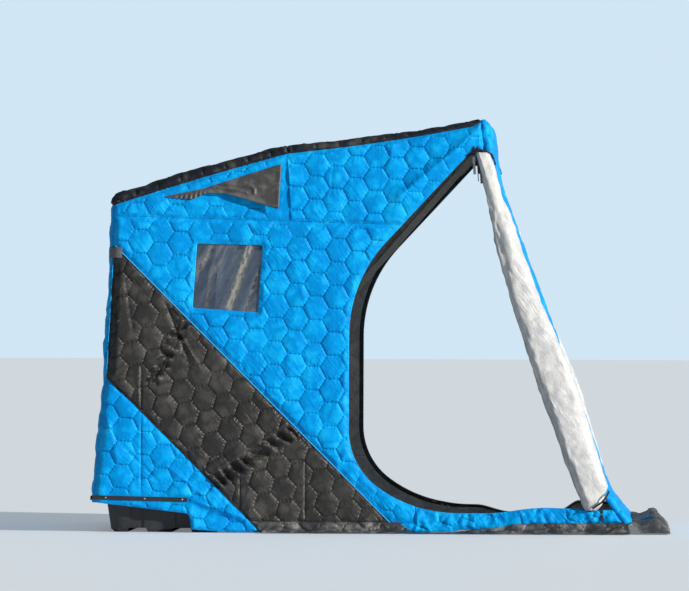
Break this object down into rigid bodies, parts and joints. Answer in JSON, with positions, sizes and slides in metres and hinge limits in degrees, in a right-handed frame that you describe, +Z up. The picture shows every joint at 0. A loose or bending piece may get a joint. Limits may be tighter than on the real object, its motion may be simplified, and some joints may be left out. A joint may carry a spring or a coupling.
{
  "type": "ice fishing hut",
  "caption": "Flip-over ice fishing hut: quilted fabric shelter on a hoop frame, with open side doors, on a moulded sled.",
  "frame": {"origin": "centre of the footprint, on the ice", "axes": "+X towards the front wall that swings down to the ice, -Y the right-hand side, +Z up"},
  "size_m": [2.821, 1.86, 2.0096],
  "materials": {
    "blue_quilt": "bright blue quilted polyester, hexagon stitching, satin sheen",
    "black_quilt": "black quilted polyester, hexagon stitching, satin sheen",
    "skirt_cloth": "thin black coated cloth, creased",
    "white_lining": "off-white quilted lining, creased",
    "hood_cloth": "dark brown-grey coated cloth",
    "clear_vinyl": "clear vinyl, wavy and glossy",
    "zip_tape": "black woven zip tape",
    "zip_metal": "worn grey zip pulls",
    "grey_webbing": "grey woven webbing",
    "sled_plastic": "black moulded polyethylene, scuffed",
    "batten_plastic": "black extruded strip",
    "elbow_plastic": "black moulded elbows",
    "hoop_tube": "mill finish square tube",
    "bracket_steel": "black coated steel"
  },
  "bodies": {
    "root": {"sled_tub": "sled_plastic", "rear_batten": "batten_plastic", "roof_rear_panel": "black_quilt", "roof_front_panel": "black_quilt", "rear_wall": "blue_quilt", "front_wall": "blue_quilt", "front_skirt": "skirt_cloth", "hoop_elbows": "elbow_plastic", "zip_pulls": "zip_metal", "corner_tabs": "grey_webbing", "right_batten": "batten_plastic", "right_upper_panel": "blue_quilt", "right_main_panel": "blue_quilt", "right_stripe_panel": "black_quilt", "right_lower_panel": "blue_quilt", "right_sill_panel": "blue_quilt", "right_window": "clear_vinyl", "right_door_zip": "zip_tape", "right_vent_hood": "hood_cloth", "right_door_roll": "white_lining", "right_skirt": "skirt_cloth", "right_pivot_bracket": "bracket_steel", "right_base_bracket": "bracket_steel", "left_batten": "batten_plastic", "left_upper_panel": "blue_quilt", "left_main_panel": "blue_quilt", "left_stripe_panel": "black_quilt", "left_lower_panel": "blue_quilt", "left_sill_panel": "blue_quilt", "left_window": "clear_vinyl", "left_door_zip": "zip_tape", "left_vent_hood": "hood_cloth", "left_door_roll": "white_lining", "left_skirt": "skirt_cloth", "left_pivot_bracket": "bracket_steel", "left_base_bracket": "bracket_steel", "rear_hoop_crossbar": "hoop_tube", "rear_hoop_right_arm": "hoop_tube", "rear_hoop_left_arm": "hoop_tube", "mid_hoop_crossbar": "hoop_tube", "mid_hoop_right_arm": "hoop_tube", "mid_hoop_left_arm": "hoop_tube", "front_hoop_crossbar": "hoop_tube", "front_hoop_right_arm": "hoop_tube", "front_hoop_left_arm": "hoop_tube", "base_hoop_crossbar": "hoop_tube", "base_hoop_right_arm": "hoop_tube", "base_hoop_left_arm": "hoop_tube"}
  },
  "joints": []
}
